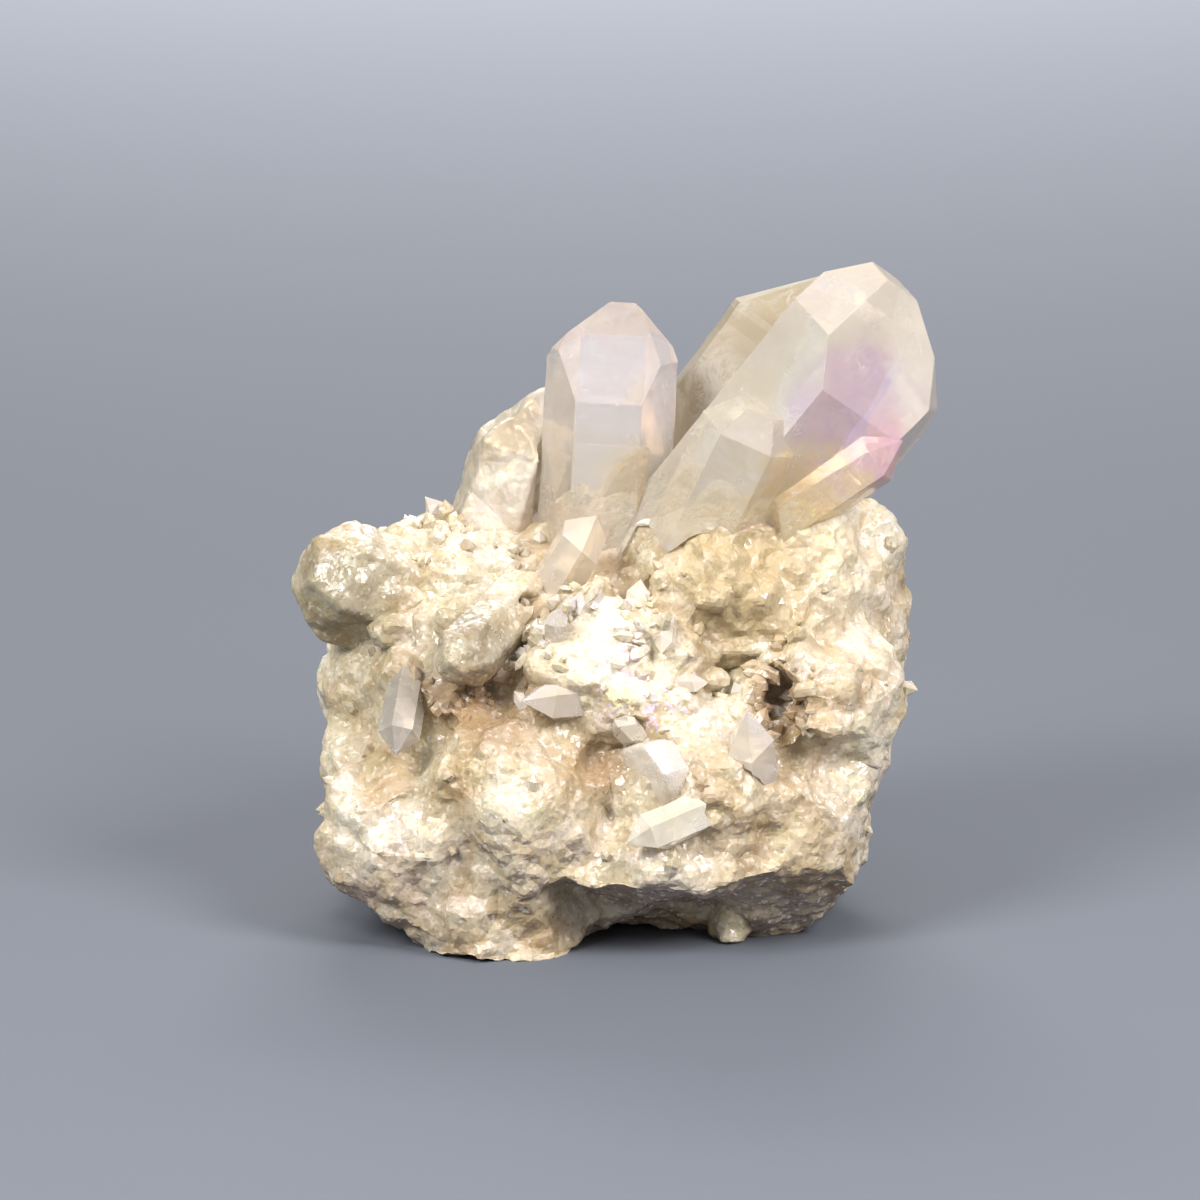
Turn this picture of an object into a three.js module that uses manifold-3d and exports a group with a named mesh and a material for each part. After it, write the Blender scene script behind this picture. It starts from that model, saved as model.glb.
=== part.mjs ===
// Aura quartz cluster: a broken lump of milky quartz with clear six-sided quartz points grown on it.
// Millimetres, +Z up, -Y is the side with the open pockets. The origin is on the ground, under the middle.
import * as THREE from "three";
import { ConvexGeometry } from "three/addons/geometries/ConvexGeometry.js";
import { ImprovedNoise } from "three/addons/math/ImprovedNoise.js";
import { mergeVertices } from "three/addons/utils/BufferGeometryUtils.js";
import Module from "manifold-3d";

// Driving dimensions, in millimetres and degrees.
const GAP = 0.3; // clear space between two neighbouring pieces
const FACE_ANGLE = 51.8; // quartz: the tip faces' normals stand this far off the crystal's axis
const STONE_MIDDLE = [0, 1, 20]; // every part of the stone's skin can be seen from here
const STONE_REACH = 60; // no part of the skin is further out than this
const SKIN_DETAIL = 14; // cuts along each edge of the icosahedron that the skin is drawn on
const MELD = 1.6; // how widely two neighbouring bosses run into each other
const CHIP_DEPTH = [0.7, 0.92]; // chipped flats lie this far out, as a share of a boss's radius
const CRAG_SIZE = 8; // the broken skin's ridges are this far apart
const CRAG_DEPTH = 2.4; // and this deep
const STUD_WIDTH = [1.6, 3.2]; // the small points that stud the stone
const STUD_SLENDERNESS = 1.1; // a small point's length over its width
const STUD_ROOT = 1.5; // how deep a small point starts under the skin
const WORLD = 300; // larger than anything here

// The stone is a heap of chipped bosses grown into each other.
// at and radii are a boss's centre and half sizes, and chips its number of flats.
const BOSSES = {
  base: { at: [-3, 3, 5], radii: [26, 19, 9], chips: 9 },
  core: { at: [-1, 3, 19], radii: [26, 20, 20], chips: 12 },
  crest: { at: [2, 5, 32], radii: [21, 13, 11], chips: 10 },
  rightBlock: { at: [17.5, -4, 12], radii: [11, 17, 14], chips: 9 },
  rightShoulder: { at: [20, 1, 32], radii: [10, 13, 13], chips: 10 },
  rightWaist: { at: [20, -5, 24], radii: [9.5, 13.5, 9], chips: 8 },
  pointRoot: { at: [12, -4, 34], radii: [11, 10, 12], chips: 8 },
  brightMound: { at: [-1, -11, 27], radii: [11, 9, 10], chips: 10 },
  frontLobe: { at: [-10, -15, 14], radii: [10, 10, 11], chips: 7 },
  lowerLeftLobe: { at: [-21, -7, 10], radii: [11, 14, 11], chips: 10 },
  foot: { at: [-11, -15, 3], radii: [10, 9, 8], chips: 8 },
  leftShoulder: { at: [-20.5, -1, 23], radii: [10, 15, 13], chips: 10 },
  leftRidge: { at: [-16, 3, 33], radii: [10, 10, 7], chips: 8 },
  leftMound: { at: [-12, 9, 31], radii: [10, 9, 9], chips: 8 },
  rearMound: { at: [7, 14, 31], radii: [15, 11, 12], chips: 9 },
  frontRight: { at: [9, -14, 15], radii: [11, 10, 10], chips: 8 },
  sill: { at: [4, -16, 9], radii: [16, 9, 5], chips: 8 },
  backLeft: { at: [-13, 12, 17], radii: [14, 12, 16], chips: 12 },
  backRight: { at: [13, 12, 20], radii: [14, 12, 18], chips: 12 },
};

// The stone hangs over the ground at its -Y side: these bosses are scooped out from under it.
const UNDERCUTS = {
  front: { at: [20, -29, -3], radii: [28, 17, 12], chips: 6 },
  right: { at: [35, -12, -4], radii: [16, 22, 13], chips: 0 },
  left: { at: [-36, -12, -4], radii: [15, 20, 11], chips: 0 },
};

// Open pockets in the side that faces -Y, cut out as small bosses.
const POCKETS = {
  left: { at: [-14, -18, 26], radii: [5.4, 6.5, 2.8], chips: 6 },
  middle: { at: [-1.5, -22, 20], radii: [2.8, 6, 3.2], chips: 6 },
  right: { at: [16, -17, 25], radii: [2.2, 5, 4], chips: 6 },
  lower: { at: [-22, -15, 22], radii: [2.4, 4, 2.6], chips: 6 },
};

// A small crystal end under the overhang that the stone also stands on.
const NUB = { root: [11, -10, 5], tip: [11.4, -15.5, 0], width: 3.4, turn: 15 };

// Patches of small points: the middle of each on the compass (from +X to +Y) and above the horizon.
const STUDS = {
  slope: { compass: -95, height: 35, spread: 26, count: 10 },
  leftRidge: { compass: 215, height: 35, spread: 20, count: 5 },
  rightShoulder: { compass: -45, height: 25, spread: 20, count: 5 },
  back: { compass: 90, height: 25, spread: 45, count: 8 },
};

// The quartz points on the stone, each with its colour and the points that grew into it.
// root and tip are the ends of a point's axis, width is across its flats and turn rolls it.
// sides moves each prism face and tops each tip face outwards, and blunt is what is broken off its tip.
const EVEN = [0, 0, 0, 0, 0, 0];
const CRYSTALS = {
  centre_point: {
    colour: 0xe2d5d0,
    points: [
      {
        root: [-1.7, 4, 32],
        tip: [-0.1, 4, 63],
        width: 11.6,
        turn: 28,
        tops: [1.2, 0.4, 0.2, 0.9, -1.9, 0.4],
      },
    ],
  },
  right_points: {
    colour: 0xe2d6c2,
    points: [
      {
        root: [7.2, 2, 33.5],
        tip: [30.2, -1, 63],
        width: 17.7,
        turn: -19,
        sides: [-0.5, 0, 0, 0, 0, 0],
        tops: [2, 0, 2.6, 4.7, 2.6, 0],
      },
      { root: [9.2, -5, 39.6], tip: [16, -7.5, 56], width: 9.6, turn: 20, blunt: 3.2 },
      { root: [17, -6.5, 42.5], tip: [28.6, -8, 50], width: 5, turn: 30 },
    ],
  },
  rear_point: {
    colour: 0xbdac9a,
    points: [
      { root: [2.6, 13, 34], tip: [24.6, 17, 64], width: 15, turn: 0, tops: [8, 6, -0.4, -0.4, -0.4, 6] },
    ],
  },
  left_point: {
    colour: 0xe5dbc8,
    points: [{ root: [-13.5, 9, 32], tip: [-7, 9, 52.5], width: 10.5, turn: 10 }],
  },
  left_knob: {
    colour: 0xcec4b0,
    points: [{ root: [-18, 0, 30], tip: [-34.5, -6, 38], width: 11, turn: 0, blunt: 3.5 }],
  },
  pocket_stub: {
    colour: 0xeae0cb,
    points: [{ root: [12, -12, 18], tip: [-1, -24, 18.5], width: 7, turn: 0, blunt: 4 }],
  },
  pocket_bar: {
    colour: 0xf2e6c8,
    points: [{ root: [4, -15, 19], tip: [-1, -20.5, 25.5], width: 2.6, turn: 0, blunt: 1 }],
  },
  front_blade: {
    colour: 0xf6f1e6,
    points: [{ root: [12, -20.5, 16.4], tip: [0.8, -25.3, 12.8], width: 3.8, turn: 0 }],
  },
  pocket_point: {
    colour: 0xe3cdc0,
    points: [{ root: [0, -12, 25], tip: [-9.5, -20, 26], width: 4.2, turn: 0 }],
  },
  slope_point: {
    colour: 0xeadfd2,
    points: [{ root: [-6.5, -5, 34], tip: [-2, -9, 42.5], width: 4.6, turn: 0 }],
  },
  lower_right_point: {
    colour: 0xdccfba,
    points: [{ root: [14, -16.5, 13], tip: [12.8, -21, 25.5], width: 4.8, turn: 0 }],
  },
  hanging_point: {
    colour: 0xdfd3b8,
    points: [{ root: [-10, -6.5, 33], tip: [-17.2, -19.2, 28], width: 6, turn: 0, blunt: 1.5 }],
  },
  grey_blade: {
    colour: 0xd0ccc8,
    points: [{ root: [-20.5, -10, 28], tip: [-22, -18, 20], width: 3.6, turn: 0 }],
  },
};

const wasm = await Module();
wasm.setup();

// A closed three.js geometry as a solid that can be joined and cut.
function solidOf(geometry) {
  const bare = new THREE.BufferGeometry().setAttribute("position", geometry.getAttribute("position"));
  bare.setIndex(geometry.index);
  const merged = mergeVertices(bare, 1e-4);
  return new wasm.Manifold(
    new wasm.Mesh({
      numProp: 3,
      vertProperties: new Float32Array(merged.getAttribute("position").array),
      triVerts: new Uint32Array(merged.index.array),
    }),
  );
}

// The solid as a flat-shaded three.js geometry.
function geometryOf(solid) {
  const mesh = solid.getMesh();
  const indexed = new THREE.BufferGeometry();
  indexed.setAttribute("position", new THREE.BufferAttribute(mesh.vertProperties, mesh.numProp));
  indexed.setIndex(new THREE.BufferAttribute(mesh.triVerts, 1));
  const flat = indexed.toNonIndexed();
  flat.computeVertexNormals();
  return flat;
}

// The largest single body of a solid that a cut may have left in several.
function largestBody(solid) {
  return solid.decompose().sort((a, b) => b.volume() - a.volume())[0];
}

// A run of repeatable numbers from 0 to 1.
function numbersFrom(name) {
  let seed = [...name].reduce((sum, letter) => sum * 31 + letter.charCodeAt(0), 7) % 65521;
  return () => THREE.MathUtils.seededRandom(seed++);
}

function between([low, high], share) {
  return THREE.MathUtils.lerp(low, high, share);
}

// A direction spread evenly over the sphere by two numbers from 0 to 1.
function directionFrom(around, upright) {
  const height = 2 * upright - 1;
  const turn = 2 * Math.PI * around;
  const level = Math.sqrt(1 - height * height);
  return new THREE.Vector3(level * Math.cos(turn), level * Math.sin(turn), height);
}

// The convex solid inside a set of planes: its corners are where three planes meet inside all the others.
function convexInside(planes) {
  const corners = new Map();
  const slack = 1e-5;
  planes.forEach((a, i) =>
    planes.slice(i + 1).forEach((b, j) =>
      planes.slice(i + j + 2).forEach((c) => {
        const across = new THREE.Vector3().crossVectors(b.normal, c.normal);
        const share = a.normal.dot(across);
        if (Math.abs(share) < slack) return;
        const corner = across.multiplyScalar(-a.constant);
        corner.addScaledVector(new THREE.Vector3().crossVectors(c.normal, a.normal), -b.constant);
        corner.addScaledVector(new THREE.Vector3().crossVectors(a.normal, b.normal), -c.constant);
        corner.divideScalar(share);
        if (planes.some((plane) => plane.distanceToPoint(corner) > slack)) return;
        corners.set(corner.toArray().map((v) => v.toFixed(3)).join(), corner);
      }),
    ),
  );
  return new ConvexGeometry([...corners.values()]);
}

// A six-sided quartz point, grown outwards by extra on every face.
function quartzPoint({ root, tip, width, turn, sides = EVEN, tops = EVEN, blunt = 0 }, extra = 0) {
  const axis = new THREE.Vector3(...tip).sub(new THREE.Vector3(...root));
  const length = axis.length();
  const steep = THREE.MathUtils.degToRad(FACE_ANGLE);
  const planes = [
    new THREE.Plane(new THREE.Vector3(0, 0, -1), -extra),
    new THREE.Plane(new THREE.Vector3(0, 0, 1), -(length + extra) + blunt),
  ];
  sides.forEach((outwards, k) => {
    const angle = THREE.MathUtils.degToRad(turn + 60 * k);
    const side = new THREE.Vector3(Math.cos(angle), Math.sin(angle), 0);
    planes.push(new THREE.Plane(side, -(width / 2 + outwards + extra)));
    const top = side.clone().multiplyScalar(Math.sin(steep)).setZ(Math.cos(steep));
    planes.push(new THREE.Plane(top, -(length * Math.cos(steep) + tops[k] + extra)));
  });
  const upright = new THREE.Quaternion().setFromUnitVectors(new THREE.Vector3(0, 0, 1), axis.normalize());
  return solidOf(convexInside(planes).applyQuaternion(upright).translate(...root));
}

// Quartz points that overlap, grown into one solid.
function grownTogether(points, extra = 0) {
  return points.map((point) => quartzPoint(point, extra)).reduce((sum, next) => sum.add(next));
}

// How far a place is outside a chipped boss; less than nothing inside it.
function chippedBoss(name, { at, radii, chips }) {
  const next = numbersFrom(name);
  const size = new THREE.Vector3(...radii);
  const flats = Array.from({ length: chips }, () => {
    const normal = directionFrom(next(), next());
    return { normal, reach: between(CHIP_DEPTH, next()), scale: 1 / normal.clone().divide(size).length() };
  });
  const middle = new THREE.Vector3(...at);
  return (place) => {
    const share = place.clone().sub(middle).divide(size);
    const out = share.length();
    const ball = (out * (out - 1)) / share.clone().divide(size).length();
    return Math.max(ball, ...flats.map(({ normal, reach, scale }) => (normal.dot(share) - reach) * scale));
  };
}

// The smaller of two distances, with the corner between them rounded off.
function melded(a, b) {
  const overlap = Math.max(MELD - Math.abs(a - b), 0) / MELD;
  return Math.min(a, b) - (overlap * overlap * MELD) / 4;
}

const bosses = Object.entries(BOSSES).map(([name, size]) => chippedBoss(name, size));
const undercuts = Object.entries(UNDERCUTS).map(([name, size]) => chippedBoss(name, size));
const noise = new ImprovedNoise();

// How far a place is outside the stone.
function outsideStone(place) {
  const heap = bosses.map((distance) => distance(place)).reduce(melded);
  const scooped = -undercuts.map((distance) => distance(place)).reduce(melded, -heap);
  const crags = Math.abs(noise.noise(...place.toArray().map((v) => v / CRAG_SIZE)));
  return scooped + CRAG_DEPTH * (crags - 0.2);
}

// The outermost place of the stone's skin, grown by extra, on a line from its middle.
function skinAlong(direction, extra = 0) {
  const middle = new THREE.Vector3(...STONE_MIDDLE);
  const caution = 0.6;
  const close = 0.02;
  let out = STONE_REACH;
  for (;;) {
    const place = middle.clone().addScaledVector(direction, out);
    const far = outsideStone(place) - extra;
    if (far < close) return place;
    out -= caution * far;
  }
}

// The stone's rough mass without its small points, grown by extra.
function roughMass(extra) {
  const skin = new THREE.IcosahedronGeometry(1, SKIN_DETAIL);
  const position = skin.getAttribute("position");
  const direction = new THREE.Vector3();
  for (let i = 0; i < position.count; i++) {
    direction.fromBufferAttribute(position, i).normalize();
    position.setXYZ(i, ...skinAlong(direction, extra).toArray());
  }
  return solidOf(skin);
}

// A pocket's hollow as a small chipped ball, shrunk by extra.
function pocketHollow(name, size, extra) {
  const distance = chippedBoss(name, size);
  const ball = new THREE.IcosahedronGeometry(1, 3);
  const position = ball.getAttribute("position");
  const middle = new THREE.Vector3(...size.at);
  const out = new THREE.Vector3();
  for (let i = 0; i < position.count; i++) {
    out.fromBufferAttribute(position, i).normalize();
    const rim = out.clone().multiply(new THREE.Vector3(...size.radii));
    const cut = Math.max(0, distance(middle.clone().add(rim)));
    rim.setLength(rim.length() - cut - extra);
    position.setXYZ(i, ...rim.add(middle).toArray());
  }
  return solidOf(ball);
}

// A patch of small points, each standing on the stone's skin.
function studPatch(name, { compass, height, spread, count }, extra) {
  const next = numbersFrom(name);
  return Array.from({ length: count }, () => {
    const around = THREE.MathUtils.degToRad(compass + spread * (2 * next() - 1));
    const above = THREE.MathUtils.degToRad(height + spread * (2 * next() - 1));
    const out = new THREE.Vector3(Math.cos(around), Math.sin(around), 0);
    out.multiplyScalar(Math.cos(above)).setZ(Math.sin(above));
    const skin = skinAlong(out);
    const lean = out.clone().addScaledVector(directionFrom(next(), next()), 0.5).normalize();
    const width = between(STUD_WIDTH, next());
    const root = skin.clone().addScaledVector(lean, -STUD_ROOT).toArray();
    const tip = skin.clone().addScaledVector(lean, width * STUD_SLENDERNESS).toArray();
    return quartzPoint({ root, tip, width, turn: 60 * next() }, extra);
  });
}

// The whole stone, grown outwards by extra so that it can also cut its neighbours with a gap.
function stone(extra = 0) {
  const studs = Object.entries(STUDS).flatMap(([name, patch]) => studPatch(name, patch, extra));
  const pockets = Object.entries(POCKETS).map(([name, size]) => pocketHollow(name, size, extra));
  const studded = studs.reduce((sum, next) => sum.add(next), roughMass(extra).add(quartzPoint(NUB, extra)));
  const hollowed = pockets.reduce((sum, next) => sum.subtract(next), studded);
  const ground = solidOf(new THREE.BoxGeometry(WORLD, WORLD, WORLD).translate(0, 0, -WORLD / 2 - extra));
  return largestBody(hollowed.subtract(ground));
}

const milkyQuartz = new THREE.MeshStandardMaterial({ color: 0xe2d6c0, roughness: 0.55, metalness: 0 });

function clearQuartz(colour) {
  return new THREE.MeshStandardMaterial({ color: colour, roughness: 0.12, metalness: 0 });
}

const cluster = new THREE.Group();

function place(name, solid, material) {
  const mesh = new THREE.Mesh(geometryOf(solid), material);
  mesh.name = name;
  cluster.add(mesh);
}

place("matrix", stone(), milkyQuartz);

// Each crystal ends where it meets the stone and the crystals placed before it.
let taken = stone(GAP);
for (const [name, { colour, points }] of Object.entries(CRYSTALS)) {
  place(name, largestBody(grownTogether(points).subtract(taken)), clearQuartz(colour));
  taken = taken.add(grownTogether(points, GAP));
}

// The origin is on the ground, under the middle of the whole.
const box = new THREE.Box3().setFromObject(cluster);
const middle = box.getCenter(new THREE.Vector3());
cluster.children.forEach((piece) => piece.geometry.translate(-middle.x, -middle.y, -box.min.z));

export default cluster;
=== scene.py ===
import math
import random

import bmesh
import bpy
import numpy as np
from mathutils import Matrix, Vector
from mathutils.bvhtree import BVHTree


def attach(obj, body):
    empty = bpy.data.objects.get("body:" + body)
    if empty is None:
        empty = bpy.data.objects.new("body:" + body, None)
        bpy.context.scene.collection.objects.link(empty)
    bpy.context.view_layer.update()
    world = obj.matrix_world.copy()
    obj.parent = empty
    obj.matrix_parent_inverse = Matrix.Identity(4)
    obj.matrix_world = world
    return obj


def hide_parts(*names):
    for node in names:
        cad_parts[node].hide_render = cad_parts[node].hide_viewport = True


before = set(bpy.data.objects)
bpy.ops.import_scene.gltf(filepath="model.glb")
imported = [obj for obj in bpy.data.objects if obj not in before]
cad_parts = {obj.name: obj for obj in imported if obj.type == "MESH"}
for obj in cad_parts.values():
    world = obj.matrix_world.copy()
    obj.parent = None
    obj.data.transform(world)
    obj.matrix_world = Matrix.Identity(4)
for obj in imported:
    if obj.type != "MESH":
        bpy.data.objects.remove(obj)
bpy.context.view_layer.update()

# The stone is a broken lump of milky quartz that grew as one mass. Its skin is a jumble of small
# flat crystal faces with a sugary grain, ribbed on its right flank and layered underneath. Its
# colour darkens underneath, partly its own mauve brown and partly painted shade.
MM = 0.001
STONE_MESH_STEP = 0.34 * MM
STONE_FACE_SHARE = 0.32


def hashed(cells, seed):
    """Three repeatable numbers from 0 to 1 for each whole-number cell."""
    x, y, z = (cells[..., i].astype(np.int64) for i in range(3))
    mixed = (x * 73856093) ^ (y * 19349663) ^ (z * 83492791) ^ (seed * 2654435761)
    numbers = []
    for turn in (1, 2, 3):
        h = (mixed + turn * 1013904223) & 0xFFFFFFFF
        h = ((h ^ (h >> 16)) * 73244475) & 0xFFFFFFFF
        h = ((h ^ (h >> 16)) * 73244475) & 0xFFFFFFFF
        numbers.append((h ^ (h >> 16)) / 0xFFFFFFFF)
    return np.stack(numbers, axis=-1)


def tumbled(ways, numbers):
    """Each way turned at random by its three numbers."""
    share, turn, roll = numbers.T
    turn = math.tau * turn
    roll = math.tau * roll
    level = np.sqrt(1 - share)
    upright = np.sqrt(share)
    spin = np.stack([level * np.sin(turn), level * np.cos(turn), upright * np.sin(roll)], axis=1)
    held = (upright * np.cos(roll))[:, None]
    return ways + 2 * np.cross(spin, np.cross(spin, ways) + held * ways)


def crystal_flats(points, size, steep, lift, seed):
    """How far a skin of jumbled six-sided crystals, each about size wide, stands out at each point,
    and a number from 0 to 1 for the crystal that is there."""
    scaled = points / size
    home = np.floor(scaled)
    highest = np.full(len(points), -9.0)
    number = np.zeros(len(points))
    for step in np.ndindex(3, 3, 3):
        cell = home + np.array(step) - 1
        apart = scaled - (cell + hashed(cell, seed))
        x, y, z = np.abs(tumbled(apart, hashed(cell, seed + 1))).T
        out = np.maximum(np.maximum(x, 0.5 * x + 0.87 * y), 0.8 * z)
        lifted, named, _ = hashed(cell, seed + 2).T
        height = lift * lifted - steep * out
        number = np.where(height > highest, named, number)
        highest = np.maximum(highest, height)
    return (highest - highest.mean()) * size, number


def keep_numbers(mesh, name, values):
    """One number for each point of a mesh, kept under a name for its material."""
    kept = mesh.attributes.new(name, "FLOAT", "POINT")
    kept.data.foreach_set("value", np.asarray(values, np.float32))


def new_piece(name, mesh):
    piece = bpy.data.objects.new(name, mesh)
    bpy.context.scene.collection.objects.link(piece)
    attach(piece, "root")
    return piece


def reworked(source, modifier, **settings):
    """A new mesh: another one after one modifier."""
    rough = bpy.data.objects.new("rough", source)
    bpy.context.scene.collection.objects.link(rough)
    change = rough.modifiers.new("change", modifier)
    for key, value in settings.items():
        setattr(change, key, value)
    mesh = bpy.data.meshes.new_from_object(rough.evaluated_get(bpy.context.evaluated_depsgraph_get()))
    bpy.data.objects.remove(rough)
    return mesh


def broken_up(mesh, share):
    """The mesh with only a share of its faces, each one flat."""
    flat = reworked(mesh, "DECIMATE", ratio=share)
    flat.polygons.foreach_set("use_smooth", np.zeros(len(flat.polygons), bool))
    return flat


def numbers_of(items, key, width):
    values = np.zeros(len(items) * width, np.float32)
    items.foreach_get(key, values)
    return values.reshape(-1, width).astype(float)


def soft_zone(points, at, reach):
    """1 at a place, falling softly to 0 at its reach along x, y and z, in millimetres."""
    away = np.linalg.norm((points - np.array(at) * MM) / (np.array(reach) * MM), axis=1)
    return np.clip(1.5 - away * 1.5, 0, 1)


def stretched_along(points, way, share):
    """The points drawn together along a way, so that what is made from them runs long that way."""
    way = np.array(way) / np.linalg.norm(way)
    return points - np.outer(points @ way, way) * (1 - share)


RIBBED_FLANK = ((25, -10, 13), (9, 17, 15))
STREAKED_SHOULDER = ((-24, -8, 28), (12, 14, 12))
SMOOTH_LOBE = ((-9, -25, 15), (10, 9, 9))

stone_mesh = reworked(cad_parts["matrix"].data, "REMESH", mode="VOXEL", voxel_size=STONE_MESH_STEP)
skin = numbers_of(stone_mesh.vertices, "co", 3)
outwards = numbers_of(stone_mesh.vertices, "normal", 3)
ribbed = soft_zone(skin, *RIBBED_FLANK)
streaked = soft_zone(skin, *STREAKED_SHOULDER)
smooth = soft_zone(skin, *SMOOTH_LOBE)
under = np.clip(-outwards[:, 2] * 2.2 - 0.3, 0, 1)
plain = 1 - np.maximum.reduce([ribbed, streaked, under])
large, large_number = crystal_flats(skin, 6.5 * MM, 0.40, 0.25, 11)
small, small_number = crystal_flats(skin, 2.8 * MM, 0.50, 0.35, 23)
grain, _ = crystal_flats(skin, 1.2 * MM, 0.42, 0.35, 31)
ribs, _ = crystal_flats(stretched_along(skin, (0, 0, 1), 0.4), 1.5 * MM, 0.55, 0.35, 41)
streaks, _ = crystal_flats(stretched_along(skin, (0.6, 0.3, 0.74), 0.3), 1.8 * MM, 0.45, 0.3, 53)
layers, _ = crystal_flats(stretched_along(skin, (1, 0.2, 0), 0.4), 1.6 * MM, 0.4, 0.3, 67)
relief = 0.8 * large * (1 - 0.4 * smooth) + 0.75 * small * plain * (1 - 0.5 * smooth) + 0.8 * grain
relief += ribs * ribbed + streaks * streaked * (1 - ribbed) + layers * under
skin += outwards * relief[:, None]
skin[:, 2] = np.maximum(skin[:, 2], 0)
stone_mesh.vertices.foreach_set("co", skin.ravel().astype(np.float32))
keep_numbers(stone_mesh, "crevice", np.clip(-relief / (0.9 * MM), 0, 1))
keep_numbers(stone_mesh, "crystal", 0.5 * large_number + 0.5 * small_number)
stone_mesh.update()
stone_mesh = broken_up(stone_mesh, STONE_FACE_SHARE)
stone = new_piece("stone", stone_mesh)
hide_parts("matrix")


def node(tree, kind, settings=None, **sockets):
    """A new shader node. A socket is given by its name with _ for a space, as a value or as a link."""
    made = tree.nodes.new(kind)
    for key, value in (settings or {}).items():
        setattr(made, key, value)
    for key, value in sockets.items():
        set_socket(tree, made.inputs[key.replace("_", " ")], value)
    return made


def set_socket(tree, socket, value):
    if isinstance(value, bpy.types.NodeSocket):
        tree.links.new(value, socket)
    elif isinstance(value, tuple) and len(value) == 3 and socket.type == "RGBA":
        socket.default_value = (*value, 1.0)
    else:
        socket.default_value = value


def ramp(tree, factor, stops):
    """A colour ramp from (place, colour) stops."""
    made = node(tree, "ShaderNodeValToRGB", Fac=factor)
    elements = made.color_ramp.elements
    while len(elements) < len(stops):
        elements.new(1.0)
    for element, (place, colour) in zip(elements, stops):
        element.position = place
        element.color = (*colour, 1.0)
    return made.outputs["Color"]


def blend(tree, kind, factor, below, above):
    """Two colours mixed, multiplied or otherwise blended."""
    made = node(tree, "ShaderNodeMix", {"data_type": "RGBA", "blend_type": kind})
    for index, value in zip((0, 6, 7), (factor, below, above)):
        set_socket(tree, made.inputs[index], value)
    return made.outputs[2]


def sum_up(tree, operation, *values, clamp=False):
    """One Math node over its values."""
    made = node(tree, "ShaderNodeMath", {"operation": operation, "use_clamp": clamp})
    for socket, value in zip(made.inputs, values):
        set_socket(tree, socket, value)
    return made.outputs[0]


def vector_sum(tree, operation, *values):
    """One Vector Math node over its values."""
    made = node(tree, "ShaderNodeVectorMath", {"operation": operation})
    for index, value in enumerate(values):
        set_socket(tree, made.inputs[index], value)
    return made.outputs["Value" if operation in ("DOT_PRODUCT", "LENGTH") else "Vector"]


def new_group(name, inputs, outputs):
    """An empty shader node group: its tree, what it is given and what it puts out."""
    group = bpy.data.node_groups.new(name, "ShaderNodeTree")
    for socket, value in inputs.items():
        made = group.interface.new_socket(socket, in_out="INPUT", socket_type="NodeSocketFloat")
        made.default_value = value
    for socket, kind in outputs.items():
        group.interface.new_socket(socket, in_out="OUTPUT", socket_type=kind)
    return group, group.nodes.new("NodeGroupInput").outputs, group.nodes.new("NodeGroupOutput").inputs


def pearl_coat():
    """The thin metal coat's pastel play of colours, which turns with a face's slope and wanders."""
    inputs = {"Patch Size": 6.0, "Strength": 0.5}
    group, given, put = new_group("pearl_coat", inputs, {"Tint": "NodeSocketColor"})
    place = node(group, "ShaderNodeTexCoord").outputs["Object"]
    scale = sum_up(group, "DIVIDE", 1000.0, given["Patch Size"])
    clouds = node(group, "ShaderNodeTexNoise", Vector=place, Scale=scale, Detail=3.0, Roughness=0.55)
    facing = node(group, "ShaderNodeNewGeometry").outputs["True Normal"]
    slope = vector_sum(group, "DOT_PRODUCT", facing, (0.55, -0.35, 0.6))
    where = sum_up(group, "MULTIPLY_ADD", slope, 0.22, clouds.outputs["Fac"])
    pastel = ramp(group, where, [
        (0.26, (0.84, 0.96, 0.95)),
        (0.38, (1.0, 0.98, 0.90)),
        (0.50, (1.0, 0.91, 0.66)),
        (0.60, (1.0, 0.84, 0.78)),
        (0.69, (0.96, 0.78, 0.90)),
        (0.80, (0.84, 0.80, 1.0)),
        (0.92, (0.84, 0.96, 0.95)),
    ])
    tint = blend(group, "MIX", given["Strength"], (1.0, 1.0, 1.0), pastel)
    group.links.new(tint, put["Tint"])
    return group


PEARL_COAT = pearl_coat()


def pearl(tree, patch_size, strength):
    made = node(tree, "ShaderNodeGroup", {"node_tree": PEARL_COAT})
    made.inputs["Patch Size"].default_value = patch_size
    made.inputs["Strength"].default_value = strength
    return made.outputs["Tint"]


def sugar_grain():
    """Grains that each face their own way: the tilted normal, and a number for each grain."""
    outputs = {"Normal": "NodeSocketVector", "Grain": "NodeSocketFloat"}
    group, given, put = new_group("sugar_grain", {"Grain Size": 0.5, "Tilt": 0.3}, outputs)
    place = node(group, "ShaderNodeTexCoord").outputs["Object"]
    scale = sum_up(group, "DIVIDE", 1000.0, given["Grain Size"])
    grains = node(group, "ShaderNodeTexVoronoi", Vector=place, Scale=scale)
    lean = vector_sum(group, "SUBTRACT", grains.outputs["Color"], (0.5, 0.5, 0.5))
    leaning = node(group, "ShaderNodeVectorMath", {"operation": "SCALE"}, Scale=given["Tilt"])
    group.links.new(lean, leaning.inputs[0])
    facing = node(group, "ShaderNodeNewGeometry").outputs["Normal"]
    tilted = vector_sum(group, "NORMALIZE", vector_sum(group, "ADD", facing, leaning.outputs["Vector"]))
    group.links.new(tilted, put["Normal"])
    split = node(group, "ShaderNodeSeparateColor", Color=grains.outputs["Color"])
    group.links.new(split.outputs["Red"], put["Grain"])
    return group


SUGAR_GRAIN = sugar_grain()


def grains(tree, size, tilt):
    made = node(tree, "ShaderNodeGroup", {"node_tree": SUGAR_GRAIN})
    made.inputs["Grain Size"].default_value = size
    made.inputs["Tilt"].default_value = tilt
    return made.outputs


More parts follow.
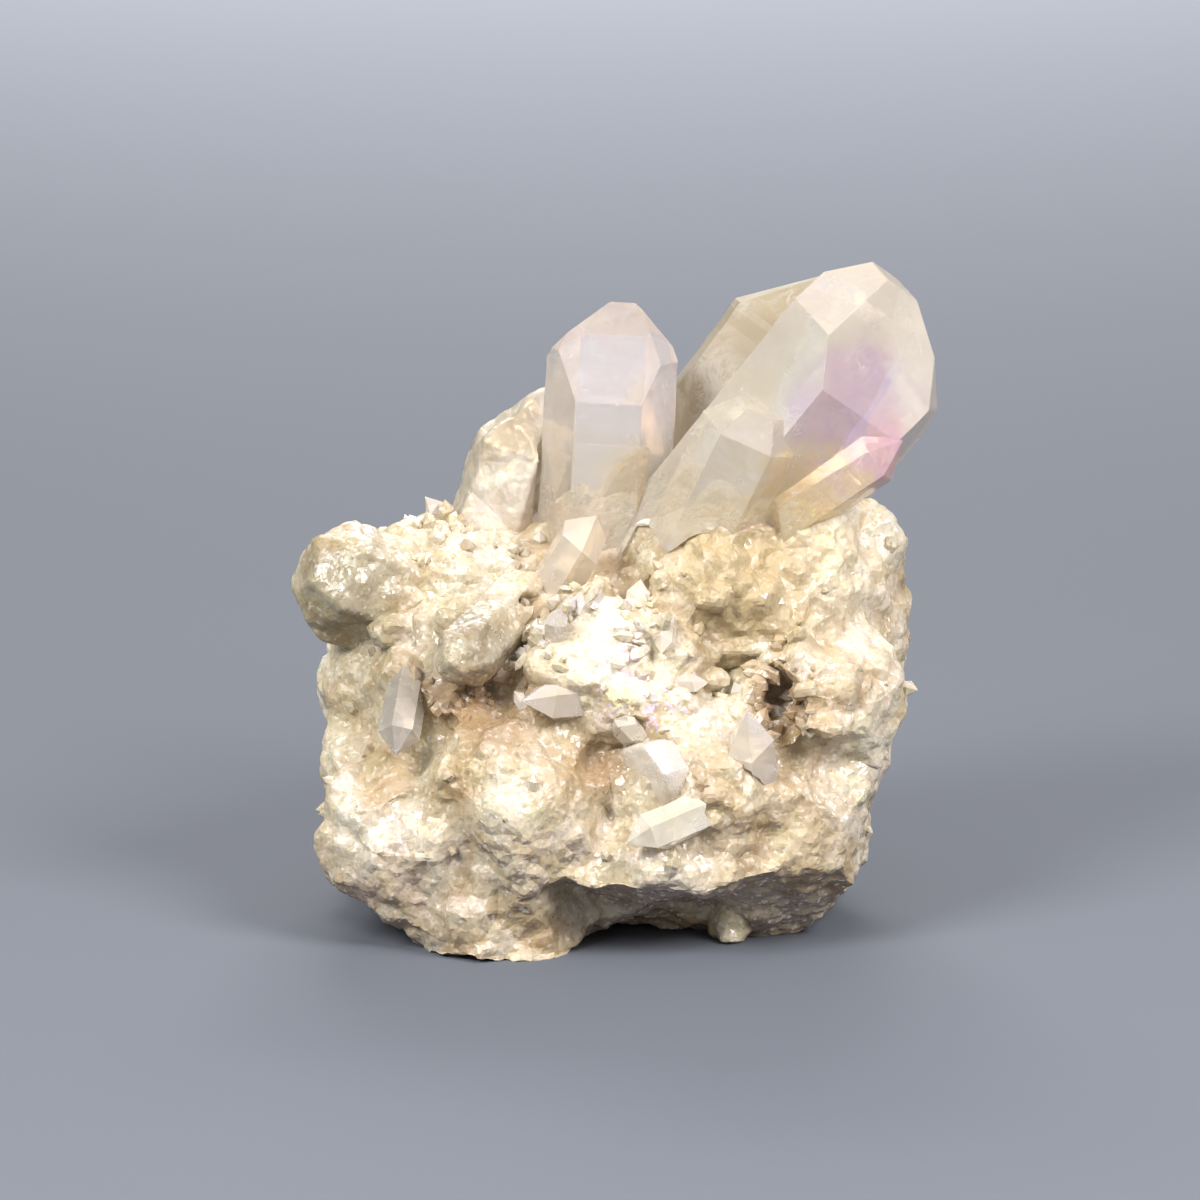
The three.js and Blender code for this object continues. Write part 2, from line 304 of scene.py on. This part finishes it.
def zone_mask(tree, place, at, reach):
    """A soft mask round a place, with its reach along x, y and z, in millimetres."""
    away = vector_sum(tree, "SUBTRACT", place, tuple(v * MM for v in at))
    share = vector_sum(tree, "DIVIDE", away, tuple(v * MM for v in reach))
    return sum_up(tree, "MULTIPLY_ADD", vector_sum(tree, "LENGTH", share), -1.6, 1.6, clamp=True)


def principled(name):
    material = bpy.data.materials.new(name)
    material.use_nodes = True
    tree = material.node_tree
    return material, tree, tree.nodes["Principled BSDF"]


QUARTZ_IOR = 1.544
CREAM_PATCHES = [
    (0.30, (0.46, 0.38, 0.25)),
    (0.43, (0.53, 0.47, 0.34)),
    (0.55, (0.58, 0.53, 0.42)),
    (0.70, (0.64, 0.62, 0.54)),
]
TAN_ROOT = ((13, -12, 38), (11, 14, 12))
OLIVE_PATCHES = [
    ((-28, -9, 34), (10, 12, 10)),
    ((-14, -14, 31), (7, 10, 6)),
]
# Paler patches: partly the pale crystals' own colour, partly painted highlight where lit faces blow out
# white.
PALE_AND_HIGHLIGHT_PATCHES = [
    ((1, -20, 31), (9, 14, 10)),
    ((25, -8, 41), (8, 12, 10)),
    ((17, -10, 44), (8, 8, 4)),
]
GREY_FOOT = ((-20, -18, 7), (15, 14, 9))
TAN = (0.38, 0.28, 0.14)
OLIVE = (0.27, 0.24, 0.165)
PALE_AND_HIGHLIGHT = (0.79, 0.77, 0.65)
POCKET_BROWN_AND_SHADE = (0.29, 0.18, 0.085)
GREY = (0.50, 0.46, 0.41)
CREVICE_SHADE = (0.62, 0.5, 0.36)
CRYSTAL_TONES = [
    (0.15, (0.74, 0.65, 0.52)),
    (0.45, (0.93, 0.89, 0.82)),
    (0.62, (0.97, 0.96, 0.95)),
    (0.85, (1.0, 1.0, 1.0)),
]
SUGAR_GRAINS = [
    (0.0, (0.84, 0.79, 0.72)),
    (0.35, (0.97, 0.96, 0.95)),
    (1.0, (1.0, 1.0, 1.0)),
]
# A painted glint: a bright colour put on a few random grains.
PAINTED_GLINT = (0.86, 0.83, 0.78)
# The underside's colour: partly the stone's own mauve brown, partly painted shade on downward faces.
UNDERSIDE_MAUVE_AND_SHADE = (0.38, 0.30, 0.255)
UNDERSIDE_TOP = 20
UNDERSIDE_FADE = 6
# The coat's colours, painted as coloured glints on scattered grains.
AURA_GLINT_COLOURS = [
    (0.40, (0.98, 0.76, 0.30)),
    (0.48, (1.0, 0.90, 0.56)),
    (0.55, (0.66, 0.48, 0.92)),
    (0.64, (0.96, 0.64, 0.80)),
]
AURA_GLINT_PATCHES = [
    ((3, -22, 27), (8, 10, 6)),
    ((17, -12, 43), (9, 8, 3)),
]
# Brown in the pockets: partly the stone's own brown, partly painted shade in the hollows.
POCKET_BROWN_AND_SHADE_ZONES = [
    ((-13.5, -18, 25), (9, 9, 5)),
    ((-1, -21, 20), (4, 7, 5)),
    ((16.5, -17, 25), (4, 7, 6)),
]


def milky_stone():
    material, tree, shader = principled("milky_stone")
    place = node(tree, "ShaderNodeTexCoord").outputs["Object"]
    clouds = node(tree, "ShaderNodeTexNoise", Vector=place, Scale=120.0, Detail=5.0, Roughness=0.62)
    colour = ramp(tree, clouds.outputs["Fac"], CREAM_PATCHES)
    grey = sum_up(tree, "MULTIPLY", zone_mask(tree, place, *GREY_FOOT), 0.6)
    colour = blend(tree, "MIX", grey, colour, GREY)
    for at, reach in OLIVE_PATCHES:
        olive = sum_up(tree, "MULTIPLY", zone_mask(tree, place, at, reach), 0.85)
        colour = blend(tree, "MIX", olive, colour, OLIVE)
    # Paler patches: partly own colour, partly painted highlight.
    for at, reach in PALE_AND_HIGHLIGHT_PATCHES:
        pale_and_highlight = sum_up(tree, "MULTIPLY", zone_mask(tree, place, at, reach), 0.85)
        colour = blend(tree, "MIX", pale_and_highlight, colour, PALE_AND_HIGHLIGHT)
    # Pocket brown: partly own colour, partly painted shade in the hollows.
    for at, reach in POCKET_BROWN_AND_SHADE_ZONES:
        brown = sum_up(tree, "MULTIPLY", zone_mask(tree, place, at, reach), 0.8)
        colour = blend(tree, "MIX", brown, colour, POCKET_BROWN_AND_SHADE)
    crevices = node(tree, "ShaderNodeAttribute", {"attribute_name": "crevice"}).outputs["Fac"]
    colour = blend(tree, "MULTIPLY", sum_up(tree, "MULTIPLY", crevices, 0.5), colour, CREVICE_SHADE)
    # Low, downward faces take the underside colour: partly own mauve brown, partly painted shade.
    facing = node(tree, "ShaderNodeNewGeometry").outputs["Normal"]
    upright = node(tree, "ShaderNodeSeparateXYZ", Vector=facing).outputs["Z"]
    below = sum_up(tree, "MULTIPLY_ADD", upright, -2.2, -0.5, clamp=True)
    height = node(tree, "ShaderNodeSeparateXYZ", Vector=place).outputs["Z"]
    fade = (-1 / (UNDERSIDE_FADE * MM), UNDERSIDE_TOP / UNDERSIDE_FADE)
    low = sum_up(tree, "MULTIPLY_ADD", height, *fade, clamp=True)
    below = sum_up(tree, "MULTIPLY", below, low)
    colour = blend(tree, "MIX", below, colour, UNDERSIDE_MAUVE_AND_SHADE)
    colour = blend(tree, "MULTIPLY", 1.0, colour, pearl(tree, 3.5, 0.3))
    crystal = node(tree, "ShaderNodeAttribute", {"attribute_name": "crystal"}).outputs["Fac"]
    colour = blend(tree, "MULTIPLY", 1.0, colour, ramp(tree, crystal, CRYSTAL_TONES))
    grain = grains(tree, 0.35, 0.22)
    colour = blend(tree, "MULTIPLY", 1.0, colour, ramp(tree, grain["Grain"], SUGAR_GRAINS))
    # Painted glints on a few grains, stronger on the underside.
    painted_glints = sum_up(tree, "GREATER_THAN", grain["Grain"], 0.93)
    painted_glints = sum_up(tree, "MULTIPLY", painted_glints, sum_up(tree, "MULTIPLY_ADD", below, 0.5, 0.2))
    colour = blend(tree, "MIX", painted_glints, colour, PAINTED_GLINT)
    tan = sum_up(tree, "MULTIPLY", zone_mask(tree, place, *TAN_ROOT), 0.7)
    colour = blend(tree, "MIX", tan, colour, TAN)
    # Coloured painted glints in the coat's colours, in two patches.
    hue = node(tree, "ShaderNodeTexNoise", Vector=place, Scale=300.0)
    glint_colours = ramp(tree, hue.outputs["Fac"], AURA_GLINT_COLOURS)
    glint_grains = sum_up(tree, "COMPARE", grain["Grain"], 0.75, 0.1)
    for at, reach in AURA_GLINT_PATCHES:
        glint_patch = sum_up(tree, "MULTIPLY", glint_grains, zone_mask(tree, place, at, reach))
        colour = blend(tree, "MIX", glint_patch, colour, glint_colours)
    tree.links.new(colour, shader.inputs["Base Color"])
    tree.links.new(grain["Normal"], shader.inputs["Normal"])
    polish = sum_up(tree, "MULTIPLY_ADD", crystal, -0.5, 0.5)
    rough = sum_up(tree, "MULTIPLY_ADD", grain["Grain"], 0.22, polish)
    tree.links.new(rough, shader.inputs["Roughness"])
    shader.inputs["IOR"].default_value = QUARTZ_IOR
    return material


stone_mesh.materials.clear()
stone_mesh.materials.append(milky_stone())

# The small points are quartz crystals, half a millimetre to two and a half wide, all over the stone,
# thickest round its pockets and along its crest. They grew out of the stone and are one with it.
MILKY_POINTS = {"count": 380, "width": (0.6, 1.8), "stray": 0.05, "seed": 5}
CLEAR_POINTS = {"count": 60, "width": (1.0, 2.6), "stray": 0.0, "seed": 8}
CROWDED = [
    ((-2, -16, 32), (18, 14, 10)),
    ((-14, -16, 26), (9, 8, 6)),
    ((16, -16, 26), (8, 8, 8)),
    ((-14, 4, 38), (14, 14, 6)),
    ((0, 24, 26), (28, 12, 16)),
]


def tree_of(mesh):
    """A search tree over a mesh's faces."""
    bm = bmesh.new()
    bm.from_mesh(mesh)
    tree = BVHTree.FromBMesh(bm)
    bm.free()
    return tree


def small_point(bm, root, axis, width, slenderness, dice):
    """One six-sided point with an uneven tip, standing on root along axis."""
    turn = axis.to_track_quat("Z", "Y").to_matrix().to_4x4()
    turn = Matrix.Translation(root) @ turn @ Matrix.Rotation(dice.random() * math.pi, 4, "Z")
    length = width * slenderness
    uneven = [dice.uniform(0.85, 1.15) for _ in range(6)]
    rings = []
    for height in (-0.8 * width, length):
        ring = []
        for corner in range(6):
            angle = corner * math.pi / 3
            out = 0.5 * width * uneven[corner]
            rise = height + (dice.uniform(-0.25, 0.1) * width if height > 0 else 0)
            place = Vector((out * math.cos(angle), out * math.sin(angle), rise))
            ring.append(bm.verts.new(turn @ place))
        rings.append(ring)
    lean = [dice.uniform(-0.14, 0.14) * width for _ in range(2)]
    tip = bm.verts.new(turn @ Vector((*lean, length + 0.55 * width)))
    low, high = rings
    for corner in range(6):
        after = (corner + 1) % 6
        bm.faces.new((low[corner], low[after], high[after], high[corner]))
        bm.faces.new((high[corner], high[after], tip))
    bm.faces.new(list(reversed(low)))


def small_points(name, count, width, stray, seed):
    dice = random.Random(seed)
    centres = numbers_of(stone_mesh.polygons, "center", 3)
    chance = np.full(len(centres), stray)
    for zone in CROWDED:
        chance = np.maximum(chance, soft_zone(centres, *zone) ** 2)
    chance *= np.clip(numbers_of(stone_mesh.polygons, "normal", 3)[:, 2] * 1.5 + 1.0, 0, 1)
    chance[centres[:, 2] < 6 * MM] = 0
    bm = bmesh.new()
    for pick in dice.choices(range(len(centres)), weights=chance.tolist(), k=count):
        outward = stone_tree.find_nearest(Vector(centres[pick]))[1]
        sway = Vector([dice.gauss(0, 0.42) for _ in range(3)])
        axis = (outward + sway + Vector((0, 0, 0.15))).normalized()
        share = dice.random() ** 2.4
        across = (width[0] * (1 - share) + width[1] * share) * MM
        small_point(bm, Vector(centres[pick]), axis, across, dice.uniform(0.1, 0.8), dice)
    mesh = bpy.data.meshes.new(name)
    bm.to_mesh(mesh)
    bm.free()
    tones = [dice.uniform(0.3, 0.9) for _ in range(count)]
    keep_numbers(mesh, "crystal", np.repeat(tones, len(mesh.vertices) // count))
    return mesh


def inner_veils():
    """Healed cracks and clouds in a clear crystal: a mask of wisps that wander over it."""
    group, given, put = new_group("inner_veils", {"Veil Size": 7.0}, {"Veils": "NodeSocketFloat"})
    place = node(group, "ShaderNodeTexCoord").outputs["Object"]
    scale = sum_up(group, "DIVIDE", 1000.0, given["Veil Size"])
    wisps = node(group, "ShaderNodeTexNoise", Vector=place, Scale=scale, Detail=6.0, Roughness=0.65)
    wisps.inputs["Distortion"].default_value = 1.2
    aside = sum_up(group, "ABSOLUTE", sum_up(group, "SUBTRACT", wisps.outputs["Fac"], 0.5))
    ridges = sum_up(group, "MULTIPLY_ADD", aside, -12.0, 1.0, clamp=True)
    wide = sum_up(group, "MULTIPLY", scale, 0.6)
    clouds = node(group, "ShaderNodeTexNoise", Vector=place, Scale=wide, Detail=3.0)
    clouded = sum_up(group, "MULTIPLY_ADD", clouds.outputs["Fac"], 5.0, -2.2, clamp=True)
    group.links.new(sum_up(group, "MULTIPLY", ridges, clouded), put["Veils"])
    return group


INNER_VEILS = inner_veils()


def veils(tree, size):
    made = node(tree, "ShaderNodeGroup", {"node_tree": INNER_VEILS})
    made.inputs["Veil Size"].default_value = size
    return made.outputs["Veils"]


COAT_IOR = 1.75
VEIL_WHITE = (0.98, 0.96, 0.94)

def clear_quartz(name, colour_of, clearness, roughness, depth_tint, density, film=0.0, tilt=0.03):
    """Quartz that light goes through: a pastel coat over a milky body that tints with its depth."""
    material, tree, shader = principled(name)
    place = node(tree, "ShaderNodeTexCoord").outputs["Object"]
    wisps = sum_up(tree, "MAXIMUM", veils(tree, 9.0), veils(tree, 3.0))
    cloudy = sum_up(tree, "MULTIPLY", wisps, 0.45)
    colour = blend(tree, "MIX", cloudy, colour_of(tree, place), VEIL_WHITE)
    tree.links.new(colour, shader.inputs["Base Color"])
    tree.links.new(grains(tree, 1.6, tilt)["Normal"], shader.inputs["Normal"])
    rough = sum_up(tree, "MULTIPLY_ADD", wisps, 0.25, roughness)
    tree.links.new(rough, shader.inputs["Roughness"])
    shader.inputs["IOR"].default_value = QUARTZ_IOR
    shader.inputs["Transmission Weight"].default_value = clearness
    shader.inputs["Thin Film Thickness"].default_value = film
    shader.inputs["Thin Film IOR"].default_value = COAT_IOR
    absorption = node(tree, "ShaderNodeVolumeAbsorption")
    absorption.inputs["Color"].default_value = (*depth_tint, 1.0)
    absorption.inputs["Density"].default_value = density
    tree.links.new(absorption.outputs["Volume"], tree.nodes["Material Output"].inputs["Volume"])
    return material


stone_tree = tree_of(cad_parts["matrix"].data)
milky_points = new_piece("milky_points", small_points("milky_points", **MILKY_POINTS))
milky_points.data.materials.append(stone_mesh.materials[0])


def cream_coat(tree, place):
    return blend(tree, "MULTIPLY", 1.0, (1.0, 0.95, 0.86), pearl(tree, 3.0, 0.4))


clear_points = new_piece("clear_points", small_points("clear_points", **CLEAR_POINTS))
clear_points.data.materials.append(
    clear_quartz("cream_clear", cream_coat, 0.6, 0.06, (0.95, 0.87, 0.74), 10.0)
)

# The large points are clear quartz crystals, six-sided with slanting tip faces. They grew out of the
# stone, so each runs on into it. Their sides carry fine growth lines and their edges are worn blunt.
ROOT_DEPTH = 1.6 * MM
EDGE_WEAR = 0.12 * MM
FOOT_REACH = 0.75 * MM


def rooted(cad_node, axis):
    """A CAD crystal as a bmesh, with its foot run on into the stone."""
    bm = bmesh.new()
    bm.from_mesh(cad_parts[cad_node].data)
    bmesh.ops.remove_doubles(bm, verts=bm.verts, dist=1e-6)
    foot = set()
    for face in bm.faces:
        if stone_tree.find_nearest(face.calc_center_median())[3] < FOOT_REACH:
            foot.update(face.verts)
    for vert in foot:
        vert.co -= axis * ROOT_DEPTH
    return bm


def grown_crystal(name, cad_node, axis, growth_lines, unevenness, seed):
    """A crystal with growth lines across its sides and blunt edges, in the place of a CAD node."""
    dice = random.Random(seed)
    axis = Vector(axis).normalized()
    bm = rooted(cad_node, axis)
    bmesh.ops.dissolve_limit(bm, angle_limit=math.radians(0.6), verts=bm.verts, edges=bm.edges)
    heights = [vert.co.dot(axis) for vert in bm.verts]
    for _ in range(growth_lines):
        at = axis * dice.uniform(min(heights), max(heights))
        sides = [face for face in bm.faces if abs(face.normal.dot(axis)) < 0.12]
        around = set(sides)
        for face in sides:
            around.update(face.edges, face.verts)
        cut = bmesh.ops.bisect_plane(bm, geom=list(around), dist=1e-7, plane_co=at, plane_no=axis)
        ring = [part for part in cut["geom_cut"] if isinstance(part, bmesh.types.BMVert)]
        if not ring:
            continue
        middle = sum((vert.co for vert in ring), Vector()) / len(ring)
        swell = dice.uniform(-1, 1) * unevenness * MM
        for vert in ring:
            vert.co += (vert.co - middle).normalized() * swell
    bm.normal_update()
    sharp = [e for e in bm.edges if e.is_manifold and e.calc_face_angle(0) > math.radians(22)]
    bmesh.ops.bevel(
        bm, geom=sharp, offset=EDGE_WEAR, segments=2, profile=0.6, affect="EDGES", clamp_overlap=True
    )
    return crystal_piece(name, cad_node, bm)


def crystal_piece(name, cad_node, bm):
    mesh = bpy.data.meshes.new(name)
    bm.to_mesh(mesh)
    bm.free()
    piece = new_piece(name, mesh)
    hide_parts(cad_node)
    return piece


def finished(piece, material):
    piece.data.materials.clear()
    piece.data.materials.append(material)


WARM_BASE = ((0, 1, 43), (10, 10, 9))
GOLDEN_GLOW = ((2, -2, 45.5), (4, 5, 4))
WHITE_FLAWS = [
    ((-2.2, -1, 57.8), (1.1, 6, 0.9)),
    ((-3.3, -1, 55.0), (0.8, 6, 0.8)),
    ((4.6, -1, 54.6), (0.7, 6, 1.0)),
]


def lavender_coat(tree, place):
    colour = blend(tree, "MULTIPLY", 1.0, (0.97, 0.91, 0.87), pearl(tree, 16.0, 0.25))
    warm = sum_up(tree, "MULTIPLY", zone_mask(tree, place, *WARM_BASE), 0.8)
    colour = blend(tree, "MIX", warm, colour, (0.96, 0.89, 0.72))
    glow = sum_up(tree, "MULTIPLY", zone_mask(tree, place, *GOLDEN_GLOW), 0.7)
    colour = blend(tree, "MIX", glow, colour, (1.0, 0.80, 0.48))
    for at, reach in WHITE_FLAWS:
        colour = blend(tree, "MIX", zone_mask(tree, place, at, reach), colour, (1.0, 1.0, 1.0))
    return colour


LAVENDER_CLEAR = clear_quartz("lavender_clear", lavender_coat, 0.76, 0.04, (0.96, 0.88, 0.74), 7.0, 142.0)
centre = grown_crystal("centre_crystal", "centre_point", (1.6, 0, 31), 22, 0.05, 1)
finished(centre, LAVENDER_CLEAR)

# The right-hand group is three points grown through each other: the largest, a broken-off one in
# front and a short bar. Their coat runs from olive through gold to lavender and pink.
COAT_ZONES = [
    (((26, -8, 52), (9, 12, 9)), (0.84, 0.62, 0.84)),
    (((23, -8, 46), (10, 10, 3)), (0.74, 0.58, 0.92)),
    (((14, -9, 42), (10, 9, 4)), (1.0, 0.86, 0.58)),
    (((20, -10, 46), (7, 7, 5)), (1.0, 0.78, 0.40)),
    (((28, -9, 49), (5, 7, 4)), (0.98, 0.60, 0.70)),
    (((31, -3, 55), (4, 12, 9)), (1.0, 0.96, 0.92)),
]
CRACKLED = ((24, -8, 50), (11, 13, 11))


def wandering(tree, place, size, amount):
    """The place moved about by up to amount, so that an edge drawn from it wanders."""
    drift = node(tree, "ShaderNodeTexNoise", Vector=place, Scale=1 / (size * MM), Detail=4.0, Roughness=0.7)
    way = vector_sum(tree, "SUBTRACT", drift.outputs["Color"], (0.5, 0.5, 0.5))
    return vector_sum(tree, "MULTIPLY_ADD", way, (2 * amount * MM,) * 3, place)


def gold_to_pink_coat(tree, place):
    colour = blend(tree, "MULTIPLY", 1.0, (0.98, 0.94, 0.84), pearl(tree, 12.0, 0.2))
    ragged = wandering(tree, place, 5.0, 4.0)
    for (at, reach), tint in COAT_ZONES:
        crisp = sum_up(tree, "MULTIPLY", zone_mask(tree, ragged, at, reach), 2.0, clamp=True)
        colour = blend(tree, "MIX", sum_up(tree, "MULTIPLY", crisp, 0.8), colour, tint)
    cracked = sum_up(tree, "MULTIPLY", zone_mask(tree, place, *CRACKLED), 0.6)
    crackle = sum_up(tree, "MULTIPLY", veils(tree, 2.5), cracked)
    return blend(tree, "MIX", crackle, colour, (0.70, 0.50, 0.92))


GOLDEN_CLEAR = clear_quartz("golden_clear", gold_to_pink_coat, 0.72, 0.04, (0.96, 0.89, 0.75), 6.0, 130.0)
right = grown_crystal("right_crystals", "right_points", (23, -3, 29.5), 26, 0.05, 2)
finished(right, GOLDEN_CLEAR)

# The rear point is smoky quartz, olive brown and duller than the rest. It grew out of the stone behind
# the right-hand group and leans the same way.
SMOKY_BROWN = (0.45, 0.37, 0.24)

def smoky_coat(tree, place):
    return blend(tree, "MULTIPLY", 1.0, SMOKY_BROWN, pearl(tree, 12.0, 0.12))


SMOKY = clear_quartz("smoky", smoky_coat, 0.45, 0.5, (0.7, 0.58, 0.42), 20.0)
SMOKY.node_tree.nodes["Principled BSDF"].inputs["Specular IOR Level"].default_value = 0.2
rear = grown_crystal("rear_crystal", "rear_point", (22, 4, 30), 18, 0.06, 3)
finished(rear, SMOKY)

# The frosted crystals are cloudy quartz, worn or broken, so light comes through them only dimly. They
# grew out of the stone as the clear points did. The knob and the hanging one are as milky as the stone.
WORN_MESH_STEP = 0.22 * MM
WORN_FACE_SHARE = 0.25


def worn_crystal(name, cad_node, axis, rounding, flat_size, depth, seed):
    """A crystal worn round and broken into small flats, in the place of a CAD node."""
    bm = rooted(cad_node, Vector(axis).normalized())
    whole = bpy.data.meshes.new(name)
    bm.to_mesh(whole)
    bm.free()
    mesh = reworked(whole, "REMESH", mode="VOXEL", voxel_size=WORN_MESH_STEP)
    mesh = reworked(mesh, "SMOOTH", factor=0.5, iterations=rounding)
    places = numbers_of(mesh.vertices, "co", 3)
    flats, number = crystal_flats(places, flat_size * MM, depth, 0.3, seed)
    chips, _ = crystal_flats(places, 0.4 * flat_size * MM, depth, 0.3, seed + 5)
    places += numbers_of(mesh.vertices, "normal", 3) * (flats + chips)[:, None]
    keep_numbers(mesh, "crystal", 0.25 + 0.5 * number)
    mesh.vertices.foreach_set("co", places.ravel().astype(np.float32))
    mesh.update()
    piece = new_piece(name, broken_up(mesh, WORN_FACE_SHARE))
    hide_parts(cad_node)
    return piece


def frosted_quartz(name, dark, light, clearness, roughness):
    """Frosted quartz with a cloudy body between two colours."""
    def clouded(tree, place):
        clouds = node(tree, "ShaderNodeTexNoise", Vector=place, Scale=160.0, Detail=4.0)
        body = ramp(tree, clouds.outputs["Fac"], [(0.35, dark), (0.65, light)])
        return blend(tree, "MULTIPLY", 1.0, body, pearl(tree, 6.0, 0.2))

    return clear_quartz(name, clouded, clearness, roughness, (0.9, 0.8, 0.62), 15.0, 125.0, 0.2)


FROSTED = frosted_quartz("frosted", (0.56, 0.48, 0.35), (0.76, 0.71, 0.60), 0.35, 0.4)
BRIGHT_FROSTED = frosted_quartz("bright_frosted", (0.86, 0.81, 0.69), (0.98, 0.96, 0.90), 0.5, 0.14)
GREY_FROSTED = frosted_quartz("grey_frosted", (0.55, 0.51, 0.45), (0.74, 0.70, 0.63), 0.6, 0.14)
left = worn_crystal("left_crystal", "left_point", (6.5, 0, 20.5), 8, 3.0, 0.22, 104)
finished(left, FROSTED)
knob = worn_crystal("left_knob_crystal", "left_knob", (-16.5, -6, 8), 24, 3.0, 0.22, 105)
finished(knob, stone_mesh.materials[0])
stub = worn_crystal("pocket_stub_crystal", "pocket_stub", (-13, -12, 0.5), 70, 1.6, 0.08, 106)
finished(stub, BRIGHT_FROSTED)
blade = grown_crystal("front_blade_crystal", "front_blade", (-11.2, -4.8, -3.6), 8, 0.04, 8)
finished(blade, BRIGHT_FROSTED)
wedge = grown_crystal("grey_blade_crystal", "grey_blade", (-1.5, -8, -8), 4, 0.04, 13)
finished(wedge, GREY_FROSTED)
hanging = worn_crystal("hanging_crystal", "hanging_point", (-8.5, -10, -5.5), 24, 2.2, 0.2, 112)
finished(hanging, stone_mesh.materials[0])

# The pocket points are short clear crystals with a faint blush. They grew into the open pockets of the
# stone and on the slope above, and each runs on into it.
BLUSH_WHITE = (1.0, 0.92, 0.81)

def blush_coat(tree, place):
    return blend(tree, "MULTIPLY", 1.0, BLUSH_WHITE, pearl(tree, 5.0, 0.25))


BLUSH_CLEAR = clear_quartz("blush_clear", blush_coat, 0.6, 0.08, (0.95, 0.87, 0.74), 10.0)
bar = grown_crystal("pocket_bar_crystal", "pocket_bar", (-5, -5.5, 6.5), 5, 0.03, 7)
finished(bar, BRIGHT_FROSTED)
pocket = grown_crystal("pocket_point_crystal", "pocket_point", (-9.5, -8, 1), 4, 0.03, 9)
finished(pocket, BLUSH_CLEAR)
slope = grown_crystal("slope_crystal", "slope_point", (4.5, -4, 8.5), 6, 0.04, 10)
finished(slope, BLUSH_CLEAR)
lower = grown_crystal("lower_right_crystal", "lower_right_point", (-1.2, -4.5, 12.5), 5, 0.04, 11)
finished(lower, BLUSH_CLEAR)

# The stage is a plain grey floor, lit by soft boxes on both sides in front, above, behind and on the
# floor far behind. None of it is part of the object.
FLOOR_HALF = 6.0
FLOOR_GREY = (0.120, 0.129, 0.152)


def plain_floor():
    material, tree, shader = principled("plain_floor")
    shader.inputs["Base Color"].default_value = (*FLOOR_GREY, 1.0)
    shader.inputs["Roughness"].default_value = 0.85
    shader.inputs["Specular IOR Level"].default_value = 0.15
    return material


floor_mesh = bpy.data.meshes.new("floor")
corners = [(x * FLOOR_HALF, y * FLOOR_HALF, 0) for x, y in ((-1, -1), (1, -1), (1, 1), (-1, 1))]
floor_mesh.from_pydata(corners, [], [(0, 1, 2, 3)])
floor_mesh.materials.append(plain_floor())
floor = bpy.data.objects.new("floor", floor_mesh)
bpy.context.scene.collection.objects.link(floor)


def soft_box(name, at, aim, size, watts, spread=180):
    """A square soft light at a place, aimed at another, in metres."""
    lamp = bpy.data.lights.new(name, "AREA")
    lamp.shape = "SQUARE"
    lamp.size = size
    lamp.energy = watts
    lamp.spread = math.radians(spread)
    holder = bpy.data.objects.new(name, lamp)
    holder.location = at
    holder.rotation_mode = "QUATERNION"
    holder.rotation_quaternion = (Vector(aim) - Vector(at)).to_track_quat("-Z", "Y")
    bpy.context.scene.collection.objects.link(holder)


MIDDLE = (0, 0, 0.03)
soft_box("left_box", (-0.26, -0.28, 0.34), MIDDLE, 0.20, 2.8)
soft_box("right_box", (0.28, -0.26, 0.35), MIDDLE, 0.20, 2.9)
soft_box("top_box", (0.0, -0.05, 0.75), MIDDLE, 0.4, 0.5)
soft_box("back_box", (0.0, 0.55, 0.5), (0, 0.1, 0), 0.3, 1.6)
soft_box("far_box", (0.0, 1.5, 0.8), (0, 1.1, 0), 0.9, 13.5, 80)

world = bpy.data.worlds.new("studio")
world.use_nodes = True
backdrop = world.node_tree.nodes["Background"]
backdrop.inputs["Color"].default_value = (0.84, 0.82, 0.79, 1.0)
backdrop.inputs["Strength"].default_value = 0.5
bpy.context.scene.world = world
bpy.context.scene.view_settings.view_transform = "Standard"

CAMERA_AT = Vector((-1.31, -574.1, 155.0)) * MM
CAMERA_DIP = 12.1
CAMERA_LENS = 172.8
camera = bpy.data.objects.new("camera", bpy.data.cameras.new("camera"))
camera.data.lens = CAMERA_LENS
camera.data.sensor_width = 36.0
camera.location = CAMERA_AT
camera.rotation_euler = (math.radians(90 - CAMERA_DIP), 0, 0)
bpy.context.scene.collection.objects.link(camera)
bpy.context.scene.camera = camera
